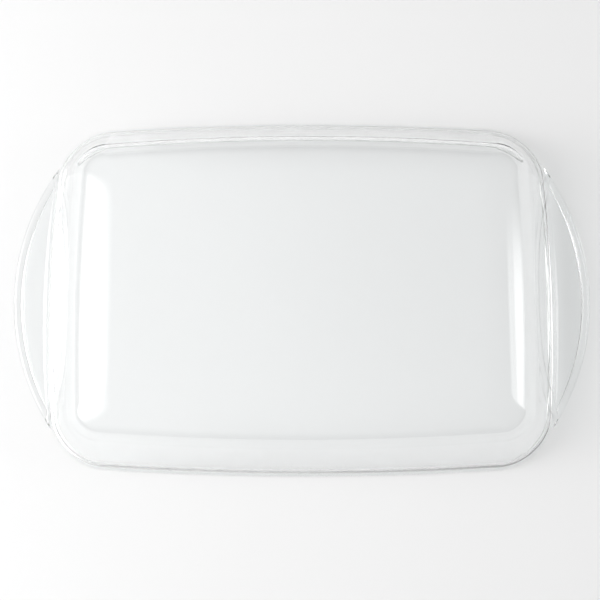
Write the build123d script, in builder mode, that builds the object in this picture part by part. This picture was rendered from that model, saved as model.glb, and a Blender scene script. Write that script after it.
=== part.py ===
"""Lasagna dish, pressed in one piece from clear heat-resistant glass.

A long open dish with flared walls, big rounded corners, gently bowed sides and a crescent
handle at each end. It stands as in the photograph: turned over, on its rim and its two
handles, with the flat base on top. Millimetres. X runs along the dish, Y across it, Z up,
and the origin is on the table, under the middle of the base.
"""

import os
from math import atan2, cos, degrees, radians, sin, tan

from build123d import *

os.makedirs("parts", exist_ok=True)

# Overall sizes
body_length = 343.0  # the rim alone, without the handles
handle_reach = 23.5  # how far a handle stands out from the rim
overall_length = body_length + 2 * handle_reach
overall_width = 240.0  # across the rim
overall_height = 55.0  # table to base

# Rim outline: four bowed sides joined by round corners
rim_corner_radius = 36.0
base_corner_radius = 19.0  # where wall and base would meet if the heel were sharp
end_bow = 5.8  # how far a short side swells past its corners
side_bow = 6.1  # the same on a long side

# Walls and base
flare_deg = 29.0  # lean of the long walls from the vertical
end_flare_share = 1.2  # the end walls lean a little more
end_bow_loss = 0.2  # how much of the inset an end wall's swell loses: the base is nearly straight there
least_bow = 0.5
wall_thickness = 4.2
base_thickness = 4.8
heel_radius = 29.0  # outside, where the wall turns into the base
inner_heel_radius = 26.5

# Rim
rim_band = 4.0  # height of the upright edge before the wall starts to lean
rim_land = 6.2  # width of the flat that the dish rests on
rim_depth = 8.0  # the mouth is nearly upright this far in
rim_edge_radius = 1.5
rim_blend_radius = 4.0  # outside, between the rim's edge and the wall
mouth_edge_radius = 0.8
throat_radius = 6.0  # inside, where the mouth turns into the leaning wall

# Handles: a crescent plate with a round bead along its edge
handle_end_inset = 17.0  # how far in from the long side a handle ends
handle_root_depth = 15.5  # how far in from the rim's end a handle's chord lies
plate_underside = 0.8  # height of the plate's lower face over the table
plate_thickness = 4.0
bead_diameter = 5.6
bead_clearance = 0.3  # the bead's least height over the table


def outline(inset):
    """Closed outline of the dish, moved in from the rim's outer edge by inset."""
    corner_loss_share = (rim_corner_radius - base_corner_radius) / base_inset
    half_x = body_length / 2 - inset * end_flare_share
    half_y = overall_width / 2 - inset
    corner_x = half_x - max(end_bow - inset * end_bow_loss, least_bow)
    corner_y = half_y - side_bow
    with BuildSketch() as shape:
        with BuildLine():
            ThreePointArc((corner_x, corner_y), (0, half_y), (-corner_x, corner_y))
            ThreePointArc((-corner_x, corner_y), (-half_x, 0), (-corner_x, -corner_y))
            ThreePointArc((-corner_x, -corner_y), (0, -half_y), (corner_x, -corner_y))
            ThreePointArc((corner_x, -corner_y), (half_x, 0), (corner_x, corner_y))
        make_face()
        fillet(shape.vertices(), rim_corner_radius - inset * corner_loss_share)
    return shape.sketch


# Insets worked out from the flare
flare = tan(radians(flare_deg))
wall_run = wall_thickness / cos(radians(flare_deg))
cavity_height = overall_height - base_thickness
base_inset = (overall_height - rim_band) * flare
throat_inset = wall_run + (rim_depth - rim_band) * flare
floor_inset = wall_run + (cavity_height - rim_band) * flare

# Handle arc: a circle through the handle's reach and the ends of its chord
handle_arc_root = body_length / 2 - handle_root_depth
handle_arc_half_width = overall_width / 2 - handle_end_inset
arc_rise = overall_length / 2 - handle_arc_root
arc_radius = (handle_arc_half_width**2 + arc_rise**2) / (2 * arc_rise)
arc_centre = overall_length / 2 - arc_radius
bead_radius = bead_diameter / 2
bead_path_radius = arc_radius - bead_radius
bead_height = bead_radius + bead_clearance
bead_half_turn = degrees(atan2(handle_arc_half_width, handle_arc_root - arc_centre))


def handle(side):
    """One handle as a plate and a bead: side is 1 at +X and -1 at -X. It starts inside the body."""
    centre = (side * arc_centre, 0, 0)
    first_turn = radians((0 if side > 0 else 180) - bead_half_turn)
    outwards = (cos(first_turn), sin(first_turn), 0)
    across = (sin(first_turn), -cos(first_turn), 0)
    with BuildPart() as piece:
        with BuildSketch(Plane.XY.offset(plate_underside)):
            with Locations(centre):
                Circle(bead_path_radius)
            with Locations((side * overall_length, 0)):
                Rectangle(
                    2 * (overall_length - handle_arc_root),
                    overall_length,
                    mode=Mode.INTERSECT,
                )
        extrude(amount=plate_thickness)
        with BuildSketch(Plane(origin=centre, x_dir=outwards, z_dir=across)):
            with Locations((bead_path_radius, bead_height)):
                Circle(bead_radius)
        revolve(axis=Axis(centre, (0, 0, 1)), revolution_arc=2 * bead_half_turn)
    return piece.part


with BuildPart() as dish:
    # Outside: upright rim edge, flared wall, and a heel rounded all the way round the base
    with BuildSketch():
        add(outline(0))
    extrude(amount=rim_band)
    with BuildSketch(Plane.XY.offset(rim_band)):
        add(outline(0))
    with BuildSketch(Plane.XY.offset(overall_height)):
        add(outline(base_inset))
    loft(ruled=True)
    fillet(dish.faces().sort_by(Axis.Z)[-1].edges(), heel_radius)
    level = dish.edges().filter_by_position(Axis.Z, rim_band, rim_band)
    fillet(level, rim_blend_radius)
    fillet(dish.faces().sort_by(Axis.Z)[0].edges(), rim_edge_radius)

    # Handles run into the body's glass, and the cavity then trims them
    add(handle(1))
    add(handle(-1))

    # Cavity: nearly upright at the mouth, then parallel to the wall, round where it meets the floor
    with BuildPart(mode=Mode.PRIVATE) as cavity:
        with BuildSketch(Plane.XY.offset(rim_depth)):
            add(outline(throat_inset))
        with BuildSketch(Plane.XY.offset(cavity_height)):
            add(outline(floor_inset))
        loft(ruled=True)
        fillet(cavity.faces().sort_by(Axis.Z)[-1].edges(), inner_heel_radius)
        with BuildSketch():
            add(outline(rim_land))
        with BuildSketch(Plane.XY.offset(rim_depth)):
            add(outline(throat_inset))
        loft(ruled=True)
        throat = cavity.edges().filter_by_position(Axis.Z, rim_depth, rim_depth)
        fillet(throat, throat_radius)
    add(cavity.part, mode=Mode.SUBTRACT)
    fillet(dish.faces().sort_by(Axis.Z)[0].inner_wires()[0].edges(), mouth_edge_radius)

dish.part.label = "dish"
export_step(dish.part, "parts/dish.step")
box = dish.part.bounding_box()
print("dish", [round(v, 2) for v in (box.min.X, box.max.X, box.min.Y, box.max.Y, box.min.Z, box.max.Z)])
print("volume", round(dish.part.volume), "solids", len(dish.part.solids()), "valid", dish.part.is_valid)
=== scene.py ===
"""Looks of a clear pressed-glass lasagna dish that lies turned over on a pale table.

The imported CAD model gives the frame: metres, X through both handles, Y across, Z up out of the
base, and the table at z = 0. The dish is one piece of glass, so one mesh stands for its one
node. Its shape follows a rule: a section line runs from the middle of the outer base, over the
heel, the wall, the rim and the handle, to the middle of the inner base. It is laid round the
rim's outline column by column, in Geometry Nodes.
"""

import logging
from dataclasses import dataclass, field
from enum import Enum
from math import cos, radians, sin, tan
from typing import Any, NamedTuple

import bpy
from mathutils import Matrix, Vector

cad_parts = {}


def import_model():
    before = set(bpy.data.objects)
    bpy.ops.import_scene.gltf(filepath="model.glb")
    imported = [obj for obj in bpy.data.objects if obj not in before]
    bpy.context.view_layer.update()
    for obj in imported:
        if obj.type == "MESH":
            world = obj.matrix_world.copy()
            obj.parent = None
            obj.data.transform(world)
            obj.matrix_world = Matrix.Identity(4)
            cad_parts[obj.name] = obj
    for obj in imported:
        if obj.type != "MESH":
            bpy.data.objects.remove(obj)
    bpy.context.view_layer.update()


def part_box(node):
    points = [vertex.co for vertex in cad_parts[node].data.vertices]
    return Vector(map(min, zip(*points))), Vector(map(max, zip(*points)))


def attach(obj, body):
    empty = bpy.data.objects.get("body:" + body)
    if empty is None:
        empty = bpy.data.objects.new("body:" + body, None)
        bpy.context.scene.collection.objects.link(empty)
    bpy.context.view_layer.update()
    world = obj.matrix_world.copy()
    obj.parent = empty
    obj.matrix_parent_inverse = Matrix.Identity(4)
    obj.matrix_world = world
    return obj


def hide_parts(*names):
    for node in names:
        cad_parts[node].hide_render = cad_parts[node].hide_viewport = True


log = logging.getLogger("lasagna_dish")

MM = 0.001
PICTURE_PX = 600  # the photograph is this many pixels wide and high
RIM_HALF_LENGTH = 171.5 * MM  # without the handles


def add_node(
    tree: bpy.types.NodeTree, kind: str, inputs: dict[int | str, Any] | None = None, **settings: Any
) -> bpy.types.Node:
    """Adds one node with its settings, constants and links.

    Args:
        tree: The tree that takes the node.
        kind: The node's Blender type name.
        inputs: Socket index or name to a constant, a socket to link, or a node whose first
            output is linked.
        **settings: The node's own properties.

    Returns:
        The new node.
    """
    node = tree.nodes.new(kind)
    for name, value in settings.items():
        setattr(node, name, value)
    for key, value in (inputs or {}).items():
        source = value.outputs[0] if isinstance(value, bpy.types.Node) else value
        if isinstance(source, bpy.types.NodeSocket):
            tree.links.new(source, node.inputs[key])
        else:
            node.inputs[key].default_value = source
    return node


def linear_colour(hex_value: str) -> tuple[float, float, float, float]:
    """Turns an sRGB hex value into linear colour.

    Args:
        hex_value: Six hex digits, such as "f4f6f5".

    Returns:
        Linear red, green and blue, and an alpha of 1.
    """
    channels = [int(hex_value[k : k + 2], 16) / 255 for k in (0, 2, 4)]
    red, green, blue = (
        c / 12.92 if c <= 0.04045 else ((c + 0.055) / 1.055) ** 2.4 for c in channels
    )
    return red, green, blue, 1.0


@dataclass(frozen=True)
class ClearGlass:
    """Heat-resistant soda-lime glass, pressed in a mould and fire-polished.

    The mould leaves it smooth but not flat: the surface ripples over 15 to 30 mm by a few
    microns, which bends reflections a little. It has a trace of green in its thickness, so
    edges look grey-green and flat parts nearly colourless.
    """

    name: str = "pressed_clear_glass"
    body: str = "feffff"
    index_of_refraction: float = 1.5
    roughness: float = 0.0
    ripple_mm: float = 22.0
    ripple_strength: float = 0.02
    room_shade: str = "fefefe"  # what is left of the room's light after one surface
    face_on_shade: str = "fbfcfc"  # the same for a lamp's light that meets it face on
    edge_on_shade: str = "101111"  # and for light that grazes it
    edge_power: float = 5.0  # how late the loss sets in towards the grazing angle

    def material(self) -> bpy.types.Material:
        """Builds the material.

        Light on its way from the table to the lamps and the room goes straight through, a
        little dimmed where it meets the glass face on and more where it grazes it, as real
        glass throws a faint shadow with a dark rim. What the eye sees is truly refracted.

        Returns:
            The glass material.
        """
        made = bpy.data.materials.new(self.name)
        made.use_nodes = True
        tree = made.node_tree
        tree.nodes.clear()
        place = add_node(tree, "ShaderNodeTexCoord").outputs["Object"]
        ripple = add_node(
            tree,
            "ShaderNodeTexNoise",
            {"Vector": place, "Scale": 1 / (self.ripple_mm * MM), "Detail": 1.0, "Roughness": 0.4},
        )
        bump = add_node(
            tree,
            "ShaderNodeBump",
            {"Strength": self.ripple_strength, "Distance": 1 * MM, "Height": ripple},
        )
        glass = add_node(
            tree,
            "ShaderNodeBsdfPrincipled",
            {
                "Base Color": linear_colour(self.body),
                "Roughness": self.roughness,
                "IOR": self.index_of_refraction,
                "Transmission Weight": 1.0,
                "Normal": bump,
            },
        )
        facing = add_node(tree, "ShaderNodeLayerWeight", {"Blend": 0.5}).outputs["Facing"]
        edge = add_node(
            tree, "ShaderNodeMath", {0: facing, 1: self.edge_power}, operation="POWER"
        )
        shade = add_node(
            tree,
            "ShaderNodeMix",
            {
                "Factor": edge,
                6: linear_colour(self.face_on_shade),
                7: linear_colour(self.edge_on_shade),
            },
            data_type="RGBA",
        )
        through = add_node(tree, "ShaderNodeBsdfTransparent", {"Color": shade.outputs[2]})
        ray = add_node(tree, "ShaderNodeLightPath").outputs
        for_lamps = add_node(
            tree, "ShaderNodeMixShader", {0: ray["Is Shadow Ray"], 1: glass, 2: through}
        )
        clear = add_node(
            tree, "ShaderNodeBsdfTransparent", {"Color": linear_colour(self.room_shade)}
        )
        surface = add_node(
            tree, "ShaderNodeMixShader", {0: ray["Is Diffuse Ray"], 1: for_lamps, 2: clear}
        )
        add_node(tree, "ShaderNodeOutputMaterial", {"Surface": surface})
        return made


@dataclass(frozen=True)
class PaintedTable:
    """Matt white paint on a smooth board, rolled on, with a faint unevenness in its tone."""

    name: str = "matt_white_paint"
    paint: str = "f3f3f3"
    thin_paint: str = "f0f0f0"
    roughness: float = 0.85
    cloud_mm: float = 260.0

    def material(self) -> bpy.types.Material:
        """Builds the paint, with tones that drift over a hand's width."""
        made = bpy.data.materials.new(self.name)
        made.use_nodes = True
        tree = made.node_tree
        tree.nodes.clear()
        place = add_node(tree, "ShaderNodeTexCoord").outputs["Object"]
        cloud = add_node(
            tree,
            "ShaderNodeTexNoise",
            {"Vector": place, "Scale": 1 / (self.cloud_mm * MM), "Detail": 2.0},
        )
        tone = add_node(
            tree,
            "ShaderNodeMix",
            {"Factor": cloud, 6: linear_colour(self.thin_paint), 7: linear_colour(self.paint)},
            data_type="RGBA",
        )
        paint = add_node(
            tree,
            "ShaderNodeBsdfPrincipled",
            {"Base Color": tone.outputs[2], "Roughness": self.roughness},
        )
        add_node(tree, "ShaderNodeOutputMaterial", {"Surface": paint})
        return made


class Follow(Enum):
    """What a corner of the section keeps its distance from, where there is a handle."""

    RIM = 0.0
    HANDLE_EDGE = 1.0


class AtHandle(NamedTuple):
    """Where a corner of the section goes where the handle stands out."""

    inward: float  # from the rim's outline or from the handle's edge, as follow says
    height: float
    rounding: float
    follow: Follow = Follow.HANDLE_EDGE
    growth: float = 0.0  # what the rounding gains for each millimetre of the handle's reach


class Corner(NamedTuple):
    """One corner of the section line, rounded by an arc of the given radius, in millimetres."""

    inward: float  # from the rim's outline
    height: float
    rounding: float
    cuts: int
    end_rounding: float | None = None  # at the end walls, where it differs
    at_handle: AtHandle | None = None  # where there is a handle, if the corner moves there


@dataclass
class WallSection:
    """The dish's section in millimetres: base, heel, flared wall, rim and handle edge."""

    height: float
    half_width: float
    flare_deg: float = 29.0
    wall: float = 4.2
    base: float = 4.8
    heel: float = 29.0
    inner_heel: float = 28.0
    inner_heel_at_ends: float = 31.5
    rim_band: float = 4.0
    rim_land: float = 6.2
    rim_depth: float = 8.0
    rim_edge: float = 1.5
    rim_blend: float = 4.0
    plate_under: float = 0.8
    plate: float = 4.0
    plate_root: float = 0.6
    root_growth: float = 0.23  # the root's rounding grows by this much of the handle's reach
    bead: float = 5.6
    bead_clearance: float = 0.3
    bead_shoulder: float = 1.7  # the bead blends into the plate this far behind it, on top
    bead_foot: float = 3.4
    shoulder_round: float = 2.2
    under_shoulder: float = 1.2  # and this far underneath
    under_foot: float = 2.2
    under_round: float = 1.2
    band_round: float = 0.2  # the rim's band is a straight run of nearly sharp corners
    foot_round: float = 0.4  # where the handle's underside meets the rim
    mouth_round: float = 0.8
    throat_round: float = 4.0
    flat_margin: float = 4.0  # from the end of a heel's arc to the first point of the flat
    outer_support: tuple[float, ...] = (30, 22, 14)  # heights that keep the wall's shading even
    inner_support: tuple[float, ...] = (14, 22, 28)

    @property
    def flare(self) -> float:
        """Inward run of the wall for each millimetre of height."""
        return tan(radians(self.flare_deg))

    def wall_inward(self, height: float) -> float:
        """Inset of the wall's outer face at a height."""
        return max(height - self.rim_band, 0.0) * self.flare

    def corners(self) -> list[Corner]:
        """Lists the section's corners, from the middle of the outer base to that of the inner.

        Returns:
            The corners in order. A corner with no rounding only supports the shading of a
            straight run.
        """
        cavity = self.height - self.base
        run = self.wall / cos(radians(self.flare_deg))
        tangent = self.heel * tan(radians(90 - self.flare_deg) / 2)
        plate_top = self.plate_under + self.plate
        bead_top = self.bead_clearance + self.bead
        rim_step = (self.rim_band - self.rim_edge) / 12
        beside_rim = [self.rim_band - rim_step * k for k in range(5, 11)]
        radius = self.bead / 2
        bead_low, band = self.bead_clearance, self.band_round
        return [
            Corner(self.half_width, self.height, 0, 1),
            Corner(self.wall_inward(self.height) + tangent + self.flat_margin, self.height, 0, 1),
            Corner(self.wall_inward(self.height), self.height, self.heel, 24),
            *(Corner(self.wall_inward(z), z, 0, 1) for z in self.outer_support),
            Corner(0, self.rim_band, self.rim_blend, 6,
                   at_handle=AtHandle(0, plate_top, self.plate_root, Follow.RIM, self.root_growth)),
            Corner(0, beside_rim[0], band, 4,
                   at_handle=AtHandle(radius + self.bead_foot, plate_top, self.shoulder_round)),
            Corner(0, beside_rim[1], band, 4,
                   at_handle=AtHandle(radius + self.bead_shoulder, bead_top, self.shoulder_round)),
            Corner(0, beside_rim[2], band, 7, at_handle=AtHandle(0, bead_top, radius)),
            Corner(0, beside_rim[3], band, 7, at_handle=AtHandle(0, bead_low, radius)),
            Corner(0, beside_rim[4], band, 3,
                   at_handle=AtHandle(radius + self.under_shoulder, bead_low, self.under_round)),
            Corner(0, beside_rim[5], band, 3,
                   at_handle=AtHandle(radius + self.under_foot, self.plate_under, self.under_round)),
            Corner(0, 0, self.rim_edge, 6,
                   at_handle=AtHandle(self.rim_edge, 0, self.foot_round, Follow.RIM)),
            Corner(self.rim_land, 0, self.mouth_round, 4),
            Corner(run + self.wall_inward(self.rim_depth), self.rim_depth, self.throat_round, 4),
            *(Corner(run + self.wall_inward(z), z, 0, 1) for z in self.inner_support),
            Corner(run + self.wall_inward(cavity), cavity, self.inner_heel, 24,
                   end_rounding=self.inner_heel_at_ends),
            Corner(run + self.wall_inward(cavity) + tangent + self.flat_margin, cavity, 0, 1),
            Corner(self.half_width, cavity, 0, 1),
        ]  # fmt: skip

    def as_object(self) -> bpy.types.Object:
        """Makes a chain of points of the corners, which the dish's node tree reads.

        Returns:
            A mesh object whose points carry the roundings and the handle's places, in metres.
        """
        corners = self.corners()
        mesh = bpy.data.meshes.new("section_corners")
        mesh.from_pydata([(c.inward * MM, 0, c.height * MM) for c in corners], [], [])
        at_end = [c.rounding if c.end_rounding is None else c.end_rounding for c in corners]
        at_handle = [
            c.at_handle or AtHandle(c.inward, c.height, rounding, Follow.RIM)
            for c, rounding in zip(corners, at_end)
        ]
        numbers = {
            "rounding": [c.rounding * MM for c in corners],
            "end_rounding": [rounding * MM for rounding in at_end],
            "handle_rounding": [h.rounding * MM for h in at_handle],
            "handle_inward": [h.inward * MM for h in at_handle],
            "handle_height": [h.height * MM for h in at_handle],
            "follow": [h.follow.value for h in at_handle],
            "growth": [h.growth for h in at_handle],
            "cuts": [float(c.cuts) for c in corners],
        }
        for name, values in numbers.items():
            mesh.attributes.new(name, "FLOAT", "POINT").data.foreach_set("value", values)
        section = bpy.data.objects.new("section_corners", mesh)
        bpy.context.scene.collection.objects.link(section)
        return section


@dataclass
class PressedDish:
    """The whole dish: one pressed body with a crescent handle at each end."""

    section: WallSection
    half_length: float  # of the rim, without the handles, in metres
    half_width: float
    reach: float  # from the middle to a handle's outer edge
    finish: ClearGlass = field(default_factory=ClearGlass)
    corner_radius: float = 36 * MM
    least_corner: float = 12 * MM
    end_bow: float = 6.3 * MM
    side_bow: float = 6.4 * MM
    end_bow_loss: float = 0.2  # an end wall loses this share of the inset from its bow
    end_flare_share: float = 1.2
    corner_loss: float = 0.85
    arc_root: float = 156 * MM
    arc_half_width: float = 103 * MM
    merge: float = 7 * MM  # over this much reach the rim turns into the handle's beaded edge
    most_bow_share: float = 0.1  # a bow takes no more than this of a half size
    corner_steps: int = 48  # points in each corner of the outline
    columns: int = 900

    def sizes(self) -> dict[str, tuple[str, Any]]:
        """Lists the node tree's inputs.

        Returns:
            Input name to its socket type and value.
        """
        rise = self.reach - self.arc_root
        arc_radius = (self.arc_half_width**2 + rise**2) / (2 * rise)
        return {
            "Section": ("NodeSocketObject", self.section.as_object()),
            "Half Size": ("NodeSocketVector", (self.half_length, self.half_width, 0)),
            "Corner Radius": ("NodeSocketFloat", self.corner_radius),
            "Least Corner": ("NodeSocketFloat", self.least_corner),
            "Corner Loss": ("NodeSocketFloat", self.corner_loss),
            "Flare Share": ("NodeSocketVector", (self.end_flare_share, 1, 0)),
            "Bow": ("NodeSocketVector", (self.end_bow, self.side_bow, 0)),
            "Bow Loss": ("NodeSocketVector", (self.end_bow_loss, 0, 0)),
            "Handle Centre": ("NodeSocketVector", (self.reach - arc_radius, 0, 0)),
            "Handle Radius": ("NodeSocketFloat", arc_radius),
            "Handle Root": ("NodeSocketFloat", self.arc_root),
            "Handle Merge": ("NodeSocketFloat", self.merge),
            "Columns": ("NodeSocketInt", self.columns),
            "Glass": ("NodeSocketMaterial", self.finish.material()),
        }

    def outline_group(self) -> bpy.types.NodeTree:
        """Builds the group that gives a point of the outline for any inset.

        The outline is a bowed rectangle with round corners. Its inset shrinks the half sizes
        and the corner radius. A negative inset goes straight out, for the handles.

        Returns:
            The node group, from inset, core and outward directions to a point.
        """
        group = bpy.data.node_groups.new("outline_point", "GeometryNodeTree")
        for name, kind in {
            "Inset": "NodeSocketFloat",
            "Core": "NodeSocketVector",
            "Outward": "NodeSocketVector",
            "Half Size": "NodeSocketVector",
            "Corner Radius": "NodeSocketFloat",
            "Least Corner": "NodeSocketFloat",
            "Corner Loss": "NodeSocketFloat",
            "Flare Share": "NodeSocketVector",
            "Bow": "NodeSocketVector",
            "Bow Loss": "NodeSocketVector",
        }.items():
            group.interface.new_socket(name, in_out="INPUT", socket_type=kind)
        group.interface.new_socket("Point", in_out="OUTPUT", socket_type="NodeSocketVector")
        given = add_node(group, "NodeGroupInput").outputs

        # Half sizes and corner radius at this inset
        inset = add_node(
            group, "ShaderNodeMath", {0: given["Inset"], 1: 0.0}, operation="MAXIMUM"
        )
        shrink = add_node(
            group, "ShaderNodeVectorMath", {0: given["Flare Share"], "Scale": inset}, operation="SCALE"
        )
        half = add_node(
            group, "ShaderNodeVectorMath", {0: given["Half Size"], 1: shrink}, operation="SUBTRACT"
        )
        half_parts = add_node(group, "ShaderNodeSeparateXYZ", {0: half})
        lost = add_node(
            group, "ShaderNodeMath", {0: inset, 1: given["Corner Loss"]}, operation="MULTIPLY"
        )
        left = add_node(
            group, "ShaderNodeMath", {0: given["Corner Radius"], 1: lost}, operation="SUBTRACT"
        )
        wanted = add_node(
            group, "ShaderNodeMath", {0: left, 1: given["Least Corner"]}, operation="MAXIMUM"
        )
        radius = add_node(
            group, "ShaderNodeMath", {0: wanted, 1: half_parts.outputs["Y"]}, operation="MINIMUM"
        )

        # Point of the rounded rectangle: its core rectangle plus the corner radius outwards
        core_half = add_node(
            group, "ShaderNodeVectorMath", {0: half, 1: radius}, operation="SUBTRACT"
        )
        to_arc = add_node(
            group, "ShaderNodeVectorMath", {0: given["Outward"], "Scale": radius}, operation="SCALE"
        )
        flat = add_node(
            group,
            "ShaderNodeVectorMath",
            {0: given["Core"], 1: core_half, 2: to_arc},
            operation="MULTIPLY_ADD",
        )

        # Bowed sides: a point comes in with the square of its distance along the other side
        share = add_node(group, "ShaderNodeVectorMath", {0: flat, 1: half}, operation="DIVIDE")
        parts = add_node(group, "ShaderNodeSeparateXYZ", {0: share})
        other = add_node(
            group, "ShaderNodeCombineXYZ", {"X": parts.outputs["Y"], "Y": parts.outputs["X"]}
        )
        square = add_node(group, "ShaderNodeVectorMath", {0: other, 1: other}, operation="MULTIPLY")
        bow_lost = add_node(
            group, "ShaderNodeVectorMath", {0: given["Bow Loss"], "Scale": inset}, operation="SCALE"
        )
        bow_left = add_node(
            group, "ShaderNodeVectorMath", {0: given["Bow"], 1: bow_lost}, operation="SUBTRACT"
        )
        bow = add_node(group, "ShaderNodeVectorMath", {0: bow_left}, operation="MAXIMUM")
        full_share = add_node(group, "ShaderNodeVectorMath", {0: bow, 1: half}, operation="DIVIDE")
        most = (self.most_bow_share, self.most_bow_share, 0.0)
        bow_share = add_node(
            group, "ShaderNodeVectorMath", {0: full_share, 1: most}, operation="MINIMUM"
        )
        pull = add_node(
            group, "ShaderNodeVectorMath", {0: square, 1: bow_share}, operation="MULTIPLY"
        )
        kept = add_node(
            group, "ShaderNodeVectorMath", {0: (1.0, 1.0, 0.0), 1: pull}, operation="SUBTRACT"
        )
        bowed = add_node(group, "ShaderNodeVectorMath", {0: flat, 1: kept}, operation="MULTIPLY")

        # Out past the rim for the handles
        reach = add_node(
            group, "ShaderNodeMath", {0: inset, 1: given["Inset"]}, operation="SUBTRACT"
        )
        run = add_node(
            group, "ShaderNodeVectorMath", {0: given["Outward"], "Scale": reach}, operation="SCALE"
        )
        point = add_node(group, "ShaderNodeVectorMath", {0: bowed, 1: run}, operation="ADD")

        # At full inset the ring is one point, in the middle of the base
        is_ring = add_node(
            group,
            "ShaderNodeMath",
            {0: half_parts.outputs["Y"], 1: 0.1 * MM},
            operation="GREATER_THAN",
        )
        closing = add_node(
            group, "ShaderNodeVectorMath", {0: point, "Scale": is_ring}, operation="SCALE"
        )
        add_node(group, "NodeGroupOutput", {"Point": closing})
        return group

    def shape_tree(self, sizes: dict[str, tuple[str, Any]]) -> bpy.types.NodeTree:
        """Builds the tree that lays the section round the outline.

        Args:
            sizes: The tree's inputs, as sizes() lists them.

        Returns:
            The geometry node tree.
        """
        tree = bpy.data.node_groups.new("dish_from_section", "GeometryNodeTree")
        tree.interface.new_socket("Geometry", in_out="INPUT", socket_type="NodeSocketGeometry")
        for name, (kind, _) in sizes.items():
            tree.interface.new_socket(name, in_out="INPUT", socket_type=kind)
        tree.interface.new_socket("Geometry", in_out="OUTPUT", socket_type="NodeSocketGeometry")
        given = add_node(tree, "NodeGroupInput").outputs
        group = self.outline_group()
        outline_inputs = {
            name: given[name]
            for name in (
                "Half Size",
                "Corner Radius",
                "Least Corner",
                "Corner Loss",
                "Flare Share",
                "Bow",
                "Bow Loss",
            )
        }

        # One copy of the section line for each column, and one more to close the ring
        corners = add_node(tree, "GeometryNodeObjectInfo", {"Object": given["Section"]})
        points = add_node(
            tree, "GeometryNodeMeshToPoints", {"Mesh": corners.outputs["Geometry"]}
        )
        order = add_node(tree, "GeometryNodeInputIndex")
        line = add_node(tree, "GeometryNodePointsToCurves", {"Points": points, "Weight": order})
        copies = add_node(
            tree, "ShaderNodeMath", {0: given["Columns"], 1: 1.0}, operation="ADD"
        )
        lines = add_node(
            tree,
            "GeometryNodeDuplicateElements",
            {"Geometry": line, "Amount": copies},
            domain="SPLINE",
        )
        turn = add_node(
            tree,
            "ShaderNodeMath",
            {0: lines.outputs["Duplicate Index"], 1: given["Columns"]},
            operation="DIVIDE",
        )

        # Each column's place on a unit square with half-round corners: core and outward directions
        square = add_node(
            tree, "GeometryNodeCurvePrimitiveQuadrilateral", {"Width": 2.0, "Height": 2.0}
        )
        rounded = add_node(
            tree,
            "GeometryNodeFilletCurve",
            {"Curve": square, "Count": self.corner_steps, "Radius": 0.5},
            mode="POLY",
        )
        place = add_node(
            tree,
            "GeometryNodeSampleCurve",
            {"Curves": rounded, "Factor": turn},
            mode="FACTOR",
        ).outputs["Position"]
        above = add_node(
            tree, "ShaderNodeVectorMath", {0: place, 1: (-0.5, -0.5, 0.0)}, operation="MAXIMUM"
        )
        core = add_node(
            tree, "ShaderNodeVectorMath", {0: above, 1: (0.5, 0.5, 0.0)}, operation="MINIMUM"
        )
        arm = add_node(tree, "ShaderNodeVectorMath", {0: place, 1: core}, operation="SUBTRACT")
        core_way = add_node(tree, "ShaderNodeVectorMath", {0: core, "Scale": 2.0}, operation="SCALE")
        out_way = add_node(tree, "ShaderNodeVectorMath", {0: arm}, operation="NORMALIZE")
        held = tree.nodes.new("GeometryNodeCaptureAttribute")
        held.domain = "POINT"
        held.capture_items.new("VECTOR", "Core")
        held.capture_items.new("VECTOR", "Outward")
        tree.links.new(lines.outputs["Geometry"], held.inputs["Geometry"])
        tree.links.new(core_way.outputs[0], held.inputs["Core"])
        tree.links.new(out_way.outputs[0], held.inputs["Outward"])
        ways = {"Core": held.outputs["Core"], "Outward": held.outputs["Outward"]}

        # How far the handle stands out here: from the rim to the handle's circle
        rim = add_node(tree, "GeometryNodeGroup", node_tree=group)
        for name, source in {**outline_inputs, **ways}.items():
            tree.links.new(source, rim.inputs[name])
        rim.inputs["Inset"].default_value = 0.0
        rim_quarter = add_node(tree, "ShaderNodeVectorMath", {0: rim}, operation="ABSOLUTE")
        out_quarter = add_node(
            tree, "ShaderNodeVectorMath", {0: held.outputs["Outward"]}, operation="ABSOLUTE"
        )
        from_centre = add_node(
            tree,
            "ShaderNodeVectorMath",
            {0: rim_quarter, 1: given["Handle Centre"]},
            operation="SUBTRACT",
        )
        along = add_node(
            tree, "ShaderNodeVectorMath", {0: from_centre, 1: out_quarter}, operation="DOT_PRODUCT"
        ).outputs["Value"]
        away = add_node(
            tree, "ShaderNodeVectorMath", {0: from_centre, 1: from_centre}, operation="DOT_PRODUCT"
        ).outputs["Value"]
        circle = add_node(
            tree,
            "ShaderNodeMath",
            {0: given["Handle Radius"], 1: given["Handle Radius"], 2: 0.0},
            operation="MULTIPLY_ADD",
        )
        room = add_node(tree, "ShaderNodeMath", {0: circle, 1: away}, operation="SUBTRACT")
        rim_parts = add_node(tree, "ShaderNodeSeparateXYZ", {0: rim_quarter})
        beyond = add_node(
            tree,
            "ShaderNodeMath",
            {0: rim_parts.outputs["X"], 1: given["Handle Root"]},
            operation="GREATER_THAN",
        )
        end_room = add_node(tree, "ShaderNodeMath", {0: room, 1: beyond}, operation="MULTIPLY")
        inside = add_node(tree, "ShaderNodeMath", {0: end_room, 1: 0.0}, operation="MAXIMUM")
        under_root = add_node(
            tree, "ShaderNodeMath", {0: along, 1: along, 2: inside}, operation="MULTIPLY_ADD"
        )
        root = add_node(tree, "ShaderNodeMath", {0: under_root}, operation="SQRT")
        reach = add_node(tree, "ShaderNodeMath", {0: root, 1: along}, operation="SUBTRACT")
        grown = add_node(
            tree,
            "ShaderNodeMapRange",
            {"Value": reach, "From Min": 0.0, "From Max": given["Handle Merge"]},
        ).outputs["Result"]
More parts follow.
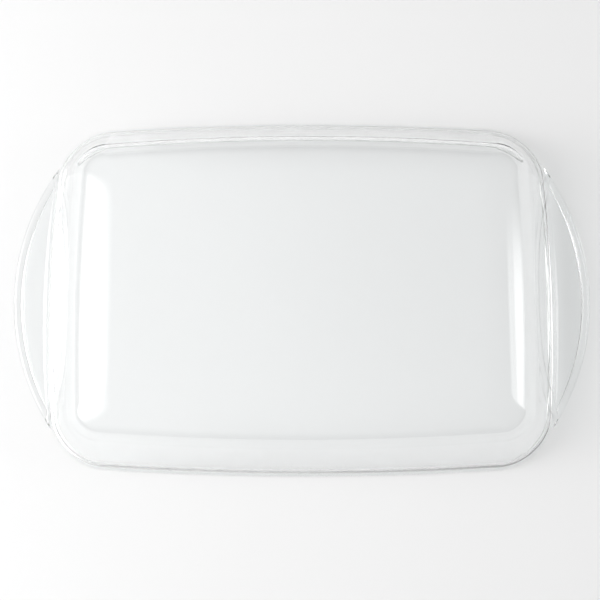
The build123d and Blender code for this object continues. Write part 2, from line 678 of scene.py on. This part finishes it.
        is_handle = add_node(
            tree,
            "ShaderNodeMapRange",
            {"Value": reach, "From Min": 0.0, "From Max": given["Handle Merge"]},
            interpolation_type="SMOOTHSTEP",
        ).outputs["Result"]

        # Each corner's place here, between the plain rim's and the handle's. What follows the
        # handle's edge goes out by the whole reach, so that the edge stays on its circle.
        read = {
            name: add_node(
                tree, "GeometryNodeInputNamedAttribute", {"Name": name}, data_type="FLOAT"
            )
            for name in (
                "rounding",
                "end_rounding",
                "handle_rounding",
                "handle_inward",
                "handle_height",
                "follow",
                "growth",
                "cuts",
            )
        }
        from_edge = add_node(
            tree,
            "ShaderNodeMath",
            {0: read["handle_inward"], 1: grown},
            operation="MULTIPLY",
        )
        inward = add_node(
            tree,
            "ShaderNodeMix",
            {0: read["follow"], 2: read["handle_inward"], 3: from_edge},
            data_type="FLOAT",
        )
        handle_corner = add_node(
            tree, "ShaderNodeCombineXYZ", {"X": inward, "Z": read["handle_height"]}
        )
        beside_edge = add_node(
            tree,
            "ShaderNodeMix",
            {0: is_handle, 4: add_node(tree, "GeometryNodeInputPosition"), 5: handle_corner},
            data_type="VECTOR",
        ).outputs[1]
        out = add_node(
            tree, "ShaderNodeMath", {0: read["follow"], 1: reach}, operation="MULTIPLY"
        )
        edge = add_node(tree, "ShaderNodeCombineXYZ", {"X": out})
        corner = add_node(
            tree, "ShaderNodeVectorMath", {0: beside_edge, 1: edge}, operation="SUBTRACT"
        )
        placed = add_node(
            tree, "GeometryNodeSetPosition", {"Geometry": held, "Position": corner}
        )

        # Round the corners, wider inside at the end walls
        end_parts = add_node(tree, "ShaderNodeSeparateXYZ", {0: held.outputs["Outward"]})
        at_end = add_node(
            tree,
            "ShaderNodeMath",
            {0: end_parts.outputs["X"], 1: end_parts.outputs["X"]},
            operation="MULTIPLY",
        )
        plain_round = add_node(
            tree,
            "ShaderNodeMix",
            {0: at_end, 2: read["rounding"], 3: read["end_rounding"]},
            data_type="FLOAT",
        )
        handle_round = add_node(
            tree,
            "ShaderNodeMath",
            {0: read["growth"], 1: reach, 2: read["handle_rounding"]},
            operation="MULTIPLY_ADD",
        )
        rounding = add_node(
            tree,
            "ShaderNodeMix",
            {0: is_handle, 2: plain_round, 3: handle_round},
            data_type="FLOAT",
        )
        arcs = add_node(
            tree,
            "GeometryNodeFilletCurve",
            {"Curve": placed, "Count": read["cuts"], "Radius": rounding, "Limit Radius": True},
            mode="POLY",
        )

        # Lay each rounded section across the outline
        section_point = add_node(
            tree, "ShaderNodeSeparateXYZ", {0: add_node(tree, "GeometryNodeInputPosition")}
        )
        ring = add_node(tree, "GeometryNodeGroup", node_tree=group)
        for name, source in {**outline_inputs, **ways}.items():
            tree.links.new(source, ring.inputs[name])
        tree.links.new(section_point.outputs["X"], ring.inputs["Inset"])
        flat_point = add_node(tree, "ShaderNodeSeparateXYZ", {0: ring})
        dish_point = add_node(
            tree,
            "ShaderNodeCombineXYZ",
            {
                "X": flat_point.outputs["X"],
                "Y": flat_point.outputs["Y"],
                "Z": section_point.outputs["Z"],
            },
        )
        laid = add_node(
            tree, "GeometryNodeSetPosition", {"Geometry": arcs, "Position": dish_point}
        )

        # Skin the columns with a grid, one row for each point of a section
        count = add_node(
            tree, "GeometryNodeAttributeDomainSize", {"Geometry": laid}, component="CURVE"
        ).outputs["Point Count"]
        rows = add_node(tree, "ShaderNodeMath", {0: count, 1: copies}, operation="DIVIDE")
        grid = add_node(
            tree,
            "GeometryNodeMeshGrid",
            {"Size X": 1.0, "Size Y": 1.0, "Vertices X": copies, "Vertices Y": rows},
        )
        on_line = add_node(
            tree,
            "GeometryNodeSampleIndex",
            {
                "Geometry": laid,
                "Value": add_node(tree, "GeometryNodeInputPosition"),
                "Index": add_node(tree, "GeometryNodeInputIndex"),
            },
            data_type="FLOAT_VECTOR",
            domain="POINT",
        )
        skin = add_node(
            tree, "GeometryNodeSetPosition", {"Geometry": grid, "Position": on_line}
        )
        closed = add_node(
            tree, "GeometryNodeMergeByDistance", {"Geometry": skin, "Distance": 0.01 * MM}
        )
        outward = add_node(tree, "GeometryNodeFlipFaces", {"Mesh": closed})
        smooth = add_node(tree, "GeometryNodeSetShadeSmooth", {"Geometry": outward})
        real = add_node(tree, "GeometryNodeRealizeInstances", {"Geometry": smooth})
        dressed = add_node(
            tree, "GeometryNodeSetMaterial", {"Geometry": real, "Material": given["Glass"]}
        )
        add_node(tree, "NodeGroupOutput", {"Geometry": dressed})
        return tree

    def build(self) -> bpy.types.Object:
        """Makes the dish's mesh and has it stand for the CAD node.

        Returns:
            The dish, a plain mesh object at the origin.
        """
        sizes = self.sizes()
        tree = self.shape_tree(sizes)
        seed = bpy.data.meshes.new("dish_seed")
        maker = bpy.data.objects.new("dish_maker", seed)
        bpy.context.scene.collection.objects.link(maker)
        modifier = maker.modifiers.new("shape", "NODES")
        modifier.node_group = tree
        for item in tree.interface.items_tree:
            if item.in_out == "INPUT" and item.name in sizes:
                modifier[item.identifier] = sizes[item.name][1]
        bpy.context.view_layer.update()
        graph = bpy.context.evaluated_depsgraph_get()
        mesh = bpy.data.meshes.new_from_object(maker.evaluated_get(graph))
        maker.modifiers.remove(modifier)
        bpy.data.objects.remove(maker)
        bpy.data.objects.remove(sizes["Section"][1])
        mesh.name = "glass_dish"
        dish = bpy.data.objects.new("glass_dish", mesh)
        bpy.context.scene.collection.objects.link(dish)
        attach(dish, "root")
        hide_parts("dish")
        log.info("%s: %d points, %d faces", dish.name, len(mesh.vertices), len(mesh.polygons))
        return dish


class SoftLamp(NamedTuple):
    """A rectangular lamp that faces the dish, in metres, and fades towards its edges."""

    name: str
    place: Vector
    size: tuple[float, float]
    watts: float
    soft: tuple[float, float]  # the shares of half its width and half its height that fade


@dataclass
class Studio:
    """The pale table, the soft light and the world round the dish."""

    window: SoftLamp = SoftLamp(
        "window_left", Vector((-1.9, -0.15, 1.28)), (2.6, 2.4), 184.0, (0.9, 0.9)
    )
    opening: SoftLamp = SoftLamp(
        "door_right", Vector((1.92, 0.05, 0.70)), (0.96, 1.0), 9.0, (0.7, 0.3)
    )
    lamp_edge: float = 0.501  # from a lamp's middle, a hair past its edge, in shares of its size
    table_half: float = 4.0
    table_drop: float = 0.05 * MM  # keeps the table's face clear of the glass
    finish: PaintedTable = field(default_factory=PaintedTable)
    horizon: float = 0.04  # the world's strength, low down, higher up and straight above
    sky: float = 0.72
    zenith: float = 0.76
    right_share: float = 0.3  # of that strength, on the right
    walls_rise: tuple[float, float] = (0.15, 0.50)  # the room gets paler between these heights
    ceiling_rise: tuple[float, float] = (0.70, 0.98)
    left_to_right: tuple[float, float] = (-0.35, 0.65)  # and darker between these
    backdrop: float = 0.80  # what is seen of the room past the table's edge
    backdrop_rise: float = 0.09  # how far up the glass shows that backdrop too

    def table(self) -> bpy.types.Object:
        """Makes the table top, a plain plane that isn't part of the object."""
        half, level = self.table_half, -self.table_drop
        mesh = bpy.data.meshes.new("table_top")
        mesh.from_pydata(
            [(-half, -half, level), (half, -half, level), (half, half, level), (-half, half, level)],
            [],
            [(0, 1, 2, 3)],
        )
        mesh.materials.append(self.finish.material())
        table = bpy.data.objects.new("table_top", mesh)
        bpy.context.scene.collection.objects.link(table)
        return table

    def hang(self, lamp: SoftLamp) -> None:
        """Hangs one lamp so that it faces the dish.

        Args:
            lamp: The lamp's place, size, power and soft edges.
        """
        light = bpy.data.lights.new(lamp.name, "AREA")
        light.shape = "RECTANGLE"
        light.size, light.size_y = lamp.size
        light.energy = lamp.watts
        light.use_nodes = True
        tree = light.node_tree
        tree.nodes.clear()
        spot = add_node(tree, "ShaderNodeTexCoord").outputs["UV"]
        off = add_node(
            tree, "ShaderNodeVectorMath", {0: spot, 1: (0.5, 0.5, 0.0)}, operation="SUBTRACT"
        )
        away = add_node(tree, "ShaderNodeVectorMath", {0: off}, operation="ABSOLUTE")
        fade_from = (self.lamp_edge - share / 2 for share in lamp.soft)
        fade = add_node(
            tree,
            "ShaderNodeMapRange",
            {
                6: away,
                7: (*fade_from, -1.0),
                8: (self.lamp_edge, self.lamp_edge, 1.0),
                9: (1.0, 1.0, 1.0),
                10: (0.0, 0.0, 1.0),
            },
            data_type="FLOAT_VECTOR",
            interpolation_type="SMOOTHSTEP",
        )
        sides = add_node(tree, "ShaderNodeSeparateXYZ", {0: fade.outputs["Vector"]}).outputs
        glow = add_node(
            tree, "ShaderNodeMath", {0: sides["X"], 1: sides["Y"]}, operation="MULTIPLY"
        )
        shine = add_node(tree, "ShaderNodeEmission", {"Strength": glow})
        add_node(tree, "ShaderNodeOutputLight", {"Surface": shine})
        hung = bpy.data.objects.new(lamp.name, light)
        bpy.context.scene.collection.objects.link(hung)
        turn = lamp.place.to_track_quat("Z", "Y").to_matrix().to_4x4()
        hung.matrix_world = Matrix.Translation(lamp.place) @ turn

    def world(self) -> None:
        """Makes the surroundings: dark low down and on the right, pale on the left and above.

        The camera sees a pale backdrop past the table's edge instead, and so does the glass
        close to the horizon. Higher up the glass shows the dark part of the room, which draws
        the dark lines along its edges.
        """
        world = bpy.data.worlds.new("pale_room")
        world.use_nodes = True
        tree = world.node_tree
        tree.nodes.clear()
        way = add_node(tree, "ShaderNodeTexCoord").outputs["Generated"]
        parts = add_node(tree, "ShaderNodeSeparateXYZ", {0: way}).outputs
        rise = parts["Z"]
        walls = add_node(
            tree,
            "ShaderNodeMapRange",
            {
                "Value": rise,
                "From Min": self.walls_rise[0],
                "From Max": self.walls_rise[1],
                "To Min": self.horizon,
                "To Max": self.sky,
            },
            interpolation_type="SMOOTHSTEP",
        )
        strength = add_node(
            tree,
            "ShaderNodeMapRange",
            {
                "Value": rise,
                "From Min": self.ceiling_rise[0],
                "From Max": self.ceiling_rise[1],
                "To Min": walls,
                "To Max": self.zenith,
            },
            interpolation_type="SMOOTHSTEP",
        )
        side = add_node(
            tree,
            "ShaderNodeMapRange",
            {
                "Value": parts["X"],
                "From Min": self.left_to_right[0],
                "From Max": self.left_to_right[1],
                "To Min": 1.0,
                "To Max": self.right_share,
            },
            interpolation_type="SMOOTHSTEP",
        )
        both = add_node(tree, "ShaderNodeMath", {0: strength, 1: side}, operation="MULTIPLY")
        ray = add_node(tree, "ShaderNodeLightPath").outputs
        low = add_node(
            tree, "ShaderNodeMath", {0: rise, 1: self.backdrop_rise}, operation="LESS_THAN"
        )
        glossy = add_node(
            tree,
            "ShaderNodeMath",
            {0: ray["Is Glossy Ray"], 1: ray["Is Transmission Ray"]},
            operation="MAXIMUM",
        )
        glossy_low = add_node(tree, "ShaderNodeMath", {0: glossy, 1: low}, operation="MULTIPLY")
        seen = add_node(
            tree,
            "ShaderNodeMath",
            {0: ray["Is Camera Ray"], 1: glossy_low},
            operation="MAXIMUM",
        )
        shown = add_node(
            tree, "ShaderNodeMix", {0: seen, 2: both, 3: self.backdrop}, data_type="FLOAT"
        )
        sky = add_node(tree, "ShaderNodeBackground", {"Color": (1, 1, 1, 1), "Strength": shown})
        add_node(tree, "ShaderNodeOutputWorld", {"Surface": sky})
        world.cycles.sampling_method = "NONE"  # an even room needs no sampling of its own
        bpy.context.scene.world = world

    def build(self) -> None:
        """Sets up the table, the lamps and the world."""
        self.table()
        self.world()
        self.hang(self.window)
        self.hang(self.opening)


@dataclass
class Viewpoint:
    """The photograph's camera, nearly straight above the dish and turned a little."""

    distance: float = 0.560
    tilt_deg: float = 6.47  # away from straight down, towards the near side
    turn_deg: float = 4.94
    roll_deg: float = 4.97
    pixels_per_metre: float = 1468.8
    aim: Vector = field(default_factory=lambda: Vector((-0.0006, -0.00214, 0)))
    sensor_mm: float = 36.0

    def build(self) -> bpy.types.Object:
        """Makes the camera and sets it as the scene's.

        Returns:
            The camera object.
        """
        tilt, turn, roll = radians(self.tilt_deg), radians(self.turn_deg), radians(self.roll_deg)
        back = Vector((sin(turn) * sin(tilt), -cos(turn) * sin(tilt), cos(tilt)))
        right = Vector((cos(turn), sin(turn), 0))
        up = back.cross(right)
        rolled_right = right * cos(roll) - up * sin(roll)
        rolled_up = right * sin(roll) + up * cos(roll)
        lens = bpy.data.cameras.new("camera")
        lens.sensor_width = self.sensor_mm
        lens.lens = self.pixels_per_metre * self.distance / PICTURE_PX * self.sensor_mm
        lens.clip_start = 0.01
        camera = bpy.data.objects.new("camera", lens)
        bpy.context.scene.collection.objects.link(camera)
        facing = Matrix((rolled_right, rolled_up, back)).transposed().to_4x4()
        camera.matrix_world = Matrix.Translation(self.aim + back * self.distance) @ facing
        bpy.context.scene.camera = camera
        return camera


def main() -> None:
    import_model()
    _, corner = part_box("dish")
    Viewpoint().build()
    dish = PressedDish(
        section=WallSection(height=corner.z / MM, half_width=corner.y / MM),
        half_length=RIM_HALF_LENGTH,
        half_width=corner.y,
        reach=corner.x,
    )
    dish.build()
    Studio().build()
    bpy.context.scene.view_settings.view_transform = "Standard"


if __name__ == "__main__":
    logging.basicConfig(level=logging.INFO)
    main()
